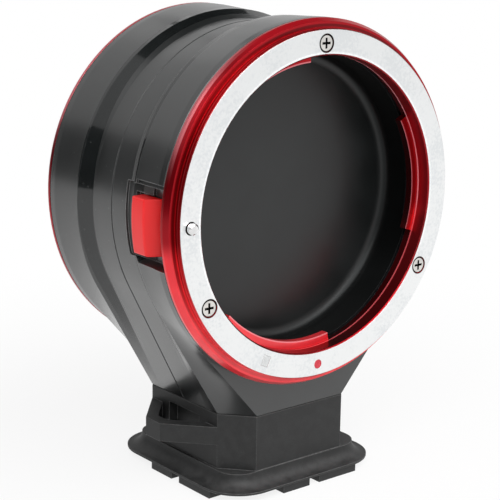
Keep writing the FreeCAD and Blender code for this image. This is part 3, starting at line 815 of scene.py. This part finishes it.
        # painted highlight on the bevel's outer rim over one band of height
        rim_highlight = bevel * depth.beyond(self.rim_highlight_depth, self.blend)
        rim_highlight *= rise.between(*self.rim_highlight_rise) * below_top
        # painted shade: the throat, the tabs' inner ends on the upper part, the wall and step
        # lines, and the upper bevel
        dark = throat * (behind + upper_shade.ranged(*self.throat_shade) * before)
        dark += tab * end * (1.0 - front) * thin
        dark += outside * (rim + groove) * thin.ranged(*self.groove_shade)
        dark += self.bevel_shade * (bevel - rim_highlight) * upper_shade * below_top
        # painted highlights: the throat's line, the tabs' front corners, the wall's line and the
        # bevel's outer rim
        lip = throat * depth.band(self.throat_highlight, self.line_half)
        bright = lip * upper_shade.ranged(*self.throat_light)
        bright += self.tab_light * tab * front * radius.between(*self.tab_corner)
        bright += self.wall_light * outside * depth.band(self.wall_highlight, self.line_half)
        bright += self.rim_highlight_share * rim_highlight
        shaded = graph.mixed(dark.clamped(), dyed, self.shadow)
        return graph.mixed(bright.clamped(), shaded, self.painted_highlight)


@dataclass(frozen=True)
class Steel(Finish):
    """Plain bright steel with fine scratches."""

    bright: Colour = (0.66, 0.66, 0.65)
    dull: Colour = (0.42, 0.42, 0.42)
    roughness: float = 0.32
    unevenness: float = 0.16
    patch: float = 1.2 * MM
    scratch: float = 0.06 * MM
    scratch_length: float = 9.0
    scratch_depth: float = 0.0015 * MM
    edge_radius: float = 0.06 * MM

    def colour(self, graph: Graph, place: Socket) -> Socket:
        """The steel's colour, in soft patches."""
        clouds = graph.noise(place, self.patch)
        return graph.mixed(clouds.between(*SOFT_CLOUDS), self.dull, self.bright)

    def paint(self, graph: Graph) -> None:
        """Fills a material's graph.

        Args:
            graph: The graph to fill.
        """
        place = graph.place()
        drawn = graph.stretched(place, (1.0, 1.0, self.scratch_length))
        scratches = graph.noise(drawn, self.scratch_length * self.scratch, detail=3.0)
        graph.surface(
            base_color=self.colour(graph, place),
            metallic=1.0,
            roughness=self.roughness + self.unevenness * (scratches - 0.5),
            normal=graph.bump(scratches, self.scratch_depth, graph.rounded(self.edge_radius)),
        )


@dataclass(frozen=True)
class FaceScrew(Steel):
    """A bright screw head with painted shade round its rim and below its top, which darkens its
    cross.
    """

    dark: Colour = (0.012, 0.012, 0.012)
    rim: float = 1.36 * MM
    top: float = FACE_DISTANCE - 0.10 * MM
    blend: float = 0.03 * MM

    def colour(self, graph: Graph, place: Socket) -> Socket:
        """The steel, painted dark as shade below the head's top and round its rim.

        Args:
            graph: The graph to add to.
            place: The point on the surface.

        Returns:
            The colour.
        """
        # painted shade below the head's top and round its rim
        below = graph.out(place).within(self.top, self.blend)
        edge = graph.screw_radius(place).beyond(self.rim, self.blend)
        return graph.mixed(below.most(edge), super().colour(graph, place), self.dark)


@dataclass(frozen=True)
class ButtonPlastic(Finish):
    """Red moulded plastic with a slight sheen, its crown painted lighter than its ramp as painted
    light, and painted shade where its ramp meets the ring.
    """

    # one plastic, painted lighter on the crown and darker on the ramp as painted light and shade
    crown: Colour = (0.93, 0.020, 0.022)
    ramp: Colour = (0.82, 0.004, 0.005)
    ring_shade: Colour = (0.22, 0.002, 0.003)
    ring_shade_share: float = 0.7
    ring_shade_reach: Span = (13.0 * MM, 15.2 * MM)
    crown_end: float = 12.0 * MM
    blend: float = 0.15 * MM
    wander: float = 0.6 * MM
    cloud: float = 2.2 * MM
    grain: float = 0.10 * MM
    grain_depth: float = 0.002 * MM
    edge_radius: float = 0.25 * MM
    roughness: float = 0.34
    unevenness: float = 0.12

    def paint(self, graph: Graph) -> None:
        """Fills a material's graph.

        Args:
            graph: The graph to fill.
        """
        place = graph.place()
        clouds = graph.noise(place, self.cloud, detail=3.0)
        grain = graph.noise(place, self.grain)
        forward = graph.out(place) + self.wander * (clouds - 0.5)
        on_ramp = forward.beyond(self.crown_end, self.blend)
        # painted shade on the ramp's end, next to the ring
        ring_shaded = self.ring_shade_share * forward.between(*self.ring_shade_reach)
        red = graph.mixed(on_ramp, self.crown, self.ramp)
        graph.surface(
            base_color=graph.mixed(ring_shaded, red, self.ring_shade),
            roughness=self.roughness + self.unevenness * (clouds - 0.5),
            normal=graph.bump(grain, self.grain_depth, graph.rounded(self.edge_radius)),
        )


@dataclass(frozen=True)
class PaintFill(Finish):
    """Paint laid in a shallow mark."""

    thick: Colour = (0.50, 0.015, 0.035)
    thin: Colour = (0.58, 0.05, 0.07)
    thinning: Span = (0.35, 0.7)
    roughness: float = 0.5
    unevenness: float = 0.2
    cloud: float = 0.6 * MM
    cloud_depth: float = 0.006 * MM

    def paint(self, graph: Graph) -> None:
        """Fills a material's graph.

        Args:
            graph: The graph to fill.
        """
        clouds = graph.noise(graph.place(), self.cloud, detail=3.0)
        graph.surface(
            base_color=graph.mixed(clouds.between(*self.thinning), self.thick, self.thin),
            roughness=self.roughness + self.unevenness * (clouds - 0.5),
            normal=graph.bump(clouds, self.cloud_depth),
        )


SHELL = WaistedPlastic("shell_plastic", "shell_black")
FOOT = MouldedPlastic(
    "foot_plastic",
    "foot_black",
    dark=(0.0085, 0.0088, 0.0089),
    light=(0.0165, 0.0169, 0.0171),
    rubbed=(0.20, 0.20, 0.20),
    roughness=0.58,
    unevenness=0.22,
    cloud=1.5 * MM,
    grain_depth=0.010 * MM,
    dust_spacing=0.6 * MM,
    dust=0.12,
    settled=0.16,
    scuffing=0.10,
)
RING = AnodisedRing("red_anodised_ring", "ring_red")
# painted shade: the rear ring wears a darker copy of the red ring's finish
SHADED_REAR_RING = AnodisedRing(
    "shaded_anodised_ring",
    "ring_red",
    dye=(0.44, 0.006, 0.018),
    deep_dye=(0.36, 0.004, 0.012),
    shaded_dye=(0.40, 0.005, 0.015),
    layer=0.3,
)
SCREW = Steel("screw_steel", "screw_steel")
FACE_SCREW = FaceScrew(
    "face_screw_steel", "screw_steel", bright=(0.86, 0.84, 0.80), dull=(0.74, 0.72, 0.69)
)
SPRING = Steel("spring_steel", "spring_steel", bright=(0.55, 0.55, 0.56), roughness=0.38)
# painted shade: the leaf springs get nearly black steel because they lie in shade behind the tabs;
# their slot is the same plain spring steel as the coil's
SHADED_LEAF = Steel(
    "shaded_spring",
    "spring_steel",
    bright=(0.05, 0.05, 0.055),
    dull=(0.03, 0.03, 0.035),
    roughness=0.38,
)
PIN = Steel(
    "polished_pin", "pin_steel", bright=(0.86, 0.86, 0.86), dull=(0.74, 0.74, 0.74), roughness=0.08
)
BUTTON = ButtonPlastic("button_red", "button_red")
DOT = PaintFill("red_mark", "mark_red")
SQUARE = PaintFill(
    "grey_mark", "mark_grey", thick=(0.52, 0.53, 0.53), thin=(0.60, 0.61, 0.61), roughness=0.6
)


class Wardrobe:
    """Gives CAD nodes and added pieces their finishes, with one material for each finish."""

    def __init__(self) -> None:
        """Starts with no material made."""
        self.made: dict[str, bpy.types.Material] = {}

    def dress(self, node: str, finish: Finish) -> None:
        """Puts a finish on a CAD node."""
        self.cover(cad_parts[node], finish)

    def cover(self, piece: bpy.types.Object, finish: Finish) -> None:
        """Puts a finish on an object.

        Args:
            piece: The object.
            finish: What it wears.
        """
        if finish.name not in self.made:
            self.made[finish.name] = finish.material()
        piece.data.materials.clear()
        piece.data.materials.append(self.made[finish.name])
        log.info("%s wears %s", piece.name, finish.name)


@dataclass
class Housing:
    """The two moulded shells and the screws that hold them."""

    wardrobe: Wardrobe

    def dress(self) -> None:
        """Dresses the shells and their screws."""
        for side in Side:
            self.wardrobe.dress(side.node("shell"), SHELL)
        self.wardrobe.dress("shell_screws", SCREW)


@dataclass
class Mount:
    """One bayonet mount: its ring, screws, leaf spring and marks."""

    wardrobe: Wardrobe
    side: Side

    def dress(self) -> None:
        """Dresses the ring and what is set in it."""
        finishes = {
            # the rear ring takes the darker copy of the ring's finish, as painted shade
            "mount_ring": RING if self.side is Side.FRONT else SHADED_REAR_RING,
            "mount_screws": FACE_SCREW,
            # the leaf spring is dressed nearly black as painted shade
            "bayonet_spring": SHADED_LEAF,
            "index_dot": DOT,
            "index_square": SQUARE,
        }
        for piece, finish in finishes.items():
            self.wardrobe.dress(self.side.node(piece), finish)


@dataclass
class Release:
    """One release: the button and the pin that it draws back."""

    wardrobe: Wardrobe
    side: Side

    def dress(self) -> None:
        """Dresses the button and pin."""
        for piece, finish in {"release_button": BUTTON, "lock_pin": PIN}.items():
            self.wardrobe.dress(self.side.node(piece), finish)


@dataclass
class ReturnSpring:
    """The coil spring behind one release, which shortens as its button is drawn back."""

    wardrobe: Wardrobe
    side: Side
    axis_distance: float = 28.85 * MM
    fixed_end: float = 4.45 * MM
    free_end: float = 8.25 * MM
    coil_radius: float = 0.60 * MM
    wire_radius: float = 0.13 * MM
    turns: float = 5.5
    closed_turns: float = 0.9
    closed_pitch: float = 0.27 * MM
    turn_steps: int = 28
    wire_sides: int = 8
    heading_turn: float = 0.01
    pressed_share: float = 0.65

    def build(self) -> None:
        """Winds the coil in place of its CAD node."""
        mesh = bpy.data.meshes.new(self.side.node("return_coil"))
        mesh.from_pydata(*self._tube())
        mesh.polygons.foreach_set("use_smooth", [True] * len(mesh.polygons))
        coil = bpy.data.objects.new(mesh.name, mesh)
        bpy.context.scene.collection.objects.link(coil)
        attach(coil, "holder")
        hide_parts(self.side.node("return_spring"))
        self.wardrobe.cover(coil, SPRING)
        self.side.node("release_slide")
        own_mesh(coil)

    def _outward(self) -> float:
        """The sign of the way that the socket faces along Y."""
        return -1.0 if self.side is Side.FRONT else 1.0

    def _height(self, turn: float) -> float:
        """How far from the middle plane the wire has climbed.

        Args:
            turn: The number of turns so far.

        Returns:
            The distance in metres.
        """
        first, last = self.fixed_end + self.wire_radius, self.free_end - self.wire_radius
        closed = self.closed_turns * self.closed_pitch
        pitch = (last - first - 2.0 * closed) / (self.turns - 2.0 * self.closed_turns)
        start = min(turn, self.closed_turns)
        end = max(turn - self.turns + self.closed_turns, 0.0)
        return first + (start + end) * self.closed_pitch + (turn - start - end) * pitch

    def _wire(self, turn: float) -> Vector:
        """The middle of the wire.

        Args:
            turn: The number of turns so far.

        Returns:
            The point.
        """
        angle = math.tau * turn
        out = self._outward()
        across = self.axis_distance + self.coil_radius * math.cos(angle)
        rise = SOCKET_HEIGHT + self.coil_radius * math.sin(angle)
        return Vector((out * across, out * self._height(turn), rise))

    def _section(self, turn: float) -> list[Vector]:
        """The corners of the wire's round section.

        Args:
            turn: The number of turns so far.

        Returns:
            The corners, in order round the wire.
        """
        middle = self._wire(turn)
        ahead = self._wire(turn + self.heading_turn) - self._wire(turn - self.heading_turn)
        axis = Vector((self._outward() * self.axis_distance, middle.y, SOCKET_HEIGHT))
        out = (middle - axis).normalized()
        side = ahead.normalized().cross(out)
        angles = [math.tau * corner / self.wire_sides for corner in range(self.wire_sides)]
        return [
            middle + self.wire_radius * (math.cos(angle) * out + math.sin(angle) * side)
            for angle in angles
        ]

    def _tube(self) -> tuple[list[Vector], list, list[tuple[int, ...]]]:
        """Sweeps a round wire along the coil.

        Returns:
            The tube's corners, no loose edges, and its faces.
        """
        count, sides = round(self.turns * self.turn_steps), self.wire_sides
        corners, faces = [], []
        for step in range(count + 1):
            corners += self._section(step / self.turn_steps)
        for step in range(count):
            near, far = step * sides, (step + 1) * sides
            for side in range(sides):
                beside = (side + 1) % sides
                faces.append((near + side, near + beside, far + beside, far + side))
        faces += [tuple(reversed(range(sides))), tuple(range(count * sides, (count + 1) * sides))]
        return corners, [], faces


@dataclass
class Foot:
    """The moulded foot with its strap loops, and its screws."""

    wardrobe: Wardrobe

    def dress(self) -> None:
        """Dresses the foot and its screws."""
        self.wardrobe.dress("strap_foot", FOOT)
        self.wardrobe.dress("foot_screws", SCREW)


def direction(azimuth: float, elevation: float) -> Vector:
    """The way from the part to something that stands round it.

    Args:
        azimuth: Degrees from the front socket's side, towards +X.
        elevation: Degrees above level.

    Returns:
        A vector one long.
    """
    turn, rise = math.radians(azimuth), math.radians(elevation)
    level = math.cos(rise)
    return Vector((math.sin(turn) * level, -math.cos(turn) * level, math.sin(rise)))


def sheet(name: str, width: float, height: float) -> bpy.types.Object:
    """Makes a flat rectangle about its own middle and puts it in the scene.

    Args:
        name: The name of the object and its mesh.
        width: Its size along its own X in metres.
        height: Its size along its own Y in metres.

    Returns:
        The rectangle.
    """
    across, up = width / 2, height / 2
    corners = [(-across, -up, 0.0), (across, -up, 0.0), (across, up, 0.0), (-across, up, 0.0)]
    mesh = bpy.data.meshes.new(name)
    mesh.from_pydata(corners, [], [(0, 1, 2, 3)])
    made = bpy.data.objects.new(name, mesh)
    bpy.context.scene.collection.objects.link(made)
    return made


@dataclass
class Camera:
    """The photograph's pinhole camera, aimed from the middle of the front ring's face."""

    focal_pixels: float = 1484.169
    image_pixels: float = 500.0
    sensor: float = 36.0
    nearest: float = 0.01
    distance: float = 264.764 * MM
    azimuth: float = -39.335
    elevation: float = 14.062
    roll: float = 0.92
    across: float = 12.891 * MM
    over: float = 7.678 * MM
    target: Vector = field(default_factory=lambda: Vector((0.0, -20.34 * MM, SOCKET_HEIGHT)))

    def place(self) -> None:
        """Makes the scene's camera."""
        back = direction(self.azimuth, self.elevation)
        roll = math.radians(self.roll)
        level = (-back).cross(Vector((0.0, 0.0, 1.0))).normalized()
        upright = level.cross(-back)
        right = level * math.cos(roll) + upright * math.sin(roll)
        up = upright * math.cos(roll) - level * math.sin(roll)
        lens = bpy.data.cameras.new("camera")
        lens.sensor_width = self.sensor
        lens.lens = self.focal_pixels / self.image_pixels * self.sensor
        lens.clip_start = self.nearest
        made = bpy.data.objects.new("camera", lens)
        turned = Matrix((right, up, back)).transposed().to_4x4()
        spot = self.target + back * self.distance - right * self.across - up * self.over
        made.matrix_world = Matrix.Translation(spot) @ turned
        bpy.context.scene.collection.objects.link(made)
        bpy.context.scene.camera = made
        log.info("camera at %s", tuple(round(c, 4) for c in spot))


@dataclass(frozen=True)
class Panel:
    """A flat rectangle that faces the part from one direction."""

    name: str
    azimuth: float
    elevation: float
    distance: float
    width: float
    height: float

    def pose(self) -> Matrix:
        """Where the panel stands, with its face down its own -Z axis.

        Returns:
            The panel's placement.
        """
        away = direction(self.azimuth, self.elevation)
        spot = Vector((0.0, 0.0, SOCKET_HEIGHT)) + away * self.distance
        return Matrix.Translation(spot) @ away.to_track_quat("Z", "Y").to_matrix().to_4x4()


@dataclass(frozen=True)
class Lamp(Panel):
    """A softbox of an even brightness, where one is as bright as white paper."""

    brightness: float

    def place(self) -> None:
        """Hangs the softbox."""
        light = bpy.data.lights.new(self.name, "AREA")
        light.shape = "RECTANGLE"
        light.size = self.width
        light.size_y = self.height
        light.energy = self.brightness * math.pi * self.width * self.height
        made = bpy.data.objects.new(self.name, light)
        made.matrix_world = self.pose()
        bpy.context.scene.collection.objects.link(made)


@dataclass(frozen=True)
class Flag(Panel):
    """A dark card that keeps light off the part, out of the camera's sight."""

    colour: Colour = (0.01, 0.01, 0.01)

    def place(self) -> None:
        """Stands the card."""
        card = sheet(self.name, self.width, self.height)
        card.matrix_world = self.pose()
        card.visible_camera = False
        material = bpy.data.materials.new(self.name)
        graph = Graph(material)
        matt = graph.node("ShaderNodeBsdfDiffuse", sockets={"Color": self.colour})
        graph.node("ShaderNodeOutputMaterial", sockets={"Surface": matt.outputs[0]})
        card.data.materials.append(material)


@dataclass
class Studio:
    """A white floor and surround with soft lamps."""

    floor_size: float = 6.0
    floor_colour: Colour = (0.90, 0.90, 0.90)
    floor_glow: float = 0.85
    floor_glow_in_metal: float = 0.9
    fill: float = 0.66
    sky_in_metal: float = 0.02
    shade_reach: Span = (0.05, 0.16)
    # Azimuth and elevation are in degrees; distance, width and height follow in metres.
    lamps: tuple[Lamp, ...] = (
        Lamp("front_softbox", -26.0, 46.0, 0.60, 0.66, 0.36, brightness=3.6),
        Lamp("right_softbox", 35.0, 52.0, 0.60, 0.45, 0.36, brightness=2.2),
        Lamp("back_softbox", 162.0, 33.0, 0.60, 0.22, 0.18, brightness=0.2),
    )
    flags: tuple[Flag, ...] = (
        Flag("left_flag", -98.0, 7.0, 0.50, 0.46, 0.36),
        Flag("top_flag", 125.0, 62.0, 0.55, 0.60, 0.50),
        Flag("roof_flag", 180.0, 84.0, 0.58, 0.40, 0.40),
        Flag("back_flag", -138.0, 5.0, 0.60, 0.34, 0.28, colour=(0.06, 0.06, 0.06)),
    )

    def build(self) -> None:
        """Makes the floor, the surround, the lamps and the cards."""
        self._floor()
        self._surround()
        for item in (*self.lamps, *self.flags):
            item.place()
            log.info("%s stands in the studio", item.name)
        bpy.context.scene.view_settings.view_transform = "Standard"

    def _seen(self, graph: Graph) -> tuple[Value, Value]:
        """Which rays show the background.

        Args:
            graph: The graph that asks.

        Returns:
            One for camera rays, and one for the rays that metal and glass send on.
        """
        path = graph.node("ShaderNodeLightPath").outputs
        camera, glossy, through = (
            Value(graph, path[f"Is {kind} Ray"]) for kind in ("Camera", "Glossy", "Transmission")
        )
        return camera, glossy.most(through)

    def _floor(self) -> None:
        """Makes the floor, which stays white to the eye and keeps a soft shadow."""
        floor = sheet("floor", self.floor_size, self.floor_size)
        material = bpy.data.materials.new("white_floor")
        graph = Graph(material)
        x, y, _ = graph.along(graph.place())
        camera, mirrored = self._seen(graph)
        clear = ((x * x + y * y) ** 0.5).between(*self.shade_reach)
        share = camera * clear.ranged(self.floor_glow, 1.0) + mirrored * self.floor_glow_in_metal
        matt = graph.node("ShaderNodeBsdfDiffuse", sockets={"Color": self.floor_colour})
        glow = graph.node("ShaderNodeEmission", sockets={"Color": WHITE, "Strength": 1.0})
        shaders = {0: share, 1: matt.outputs[0], 2: glow.outputs[0]}
        both = graph.node("ShaderNodeMixShader", sockets=shaders)
        graph.node("ShaderNodeOutputMaterial", sockets={"Surface": both.outputs[0]})
        floor.data.materials.append(material)

    def _surround(self) -> None:
        """Makes the world white to the eye and a plain fill light elsewhere."""
        world = bpy.data.worlds.new("surround")
        bpy.context.scene.world = world
        graph = Graph(world)
        camera, mirrored = self._seen(graph)
        strength = camera.ranged(self.fill, 1.0) + mirrored * self.sky_in_metal
        sky = graph.node("ShaderNodeBackground", sockets={"Color": WHITE, "Strength": strength})
        graph.node("ShaderNodeOutputWorld", sockets={"Surface": sky.outputs[0]})


def main() -> None:
    """Dresses the part and sets the studio."""
    logging.basicConfig(level=logging.INFO, format="%(message)s")
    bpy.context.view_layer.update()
    wardrobe = Wardrobe()
    Housing(wardrobe).dress()
    for side in Side:
        Mount(wardrobe, side).dress()
        Release(wardrobe, side).dress()
        ReturnSpring(wardrobe, side).build()
    Foot(wardrobe).dress()
    Studio().build()
    Camera().place()


if __name__ == "__main__":
    main()
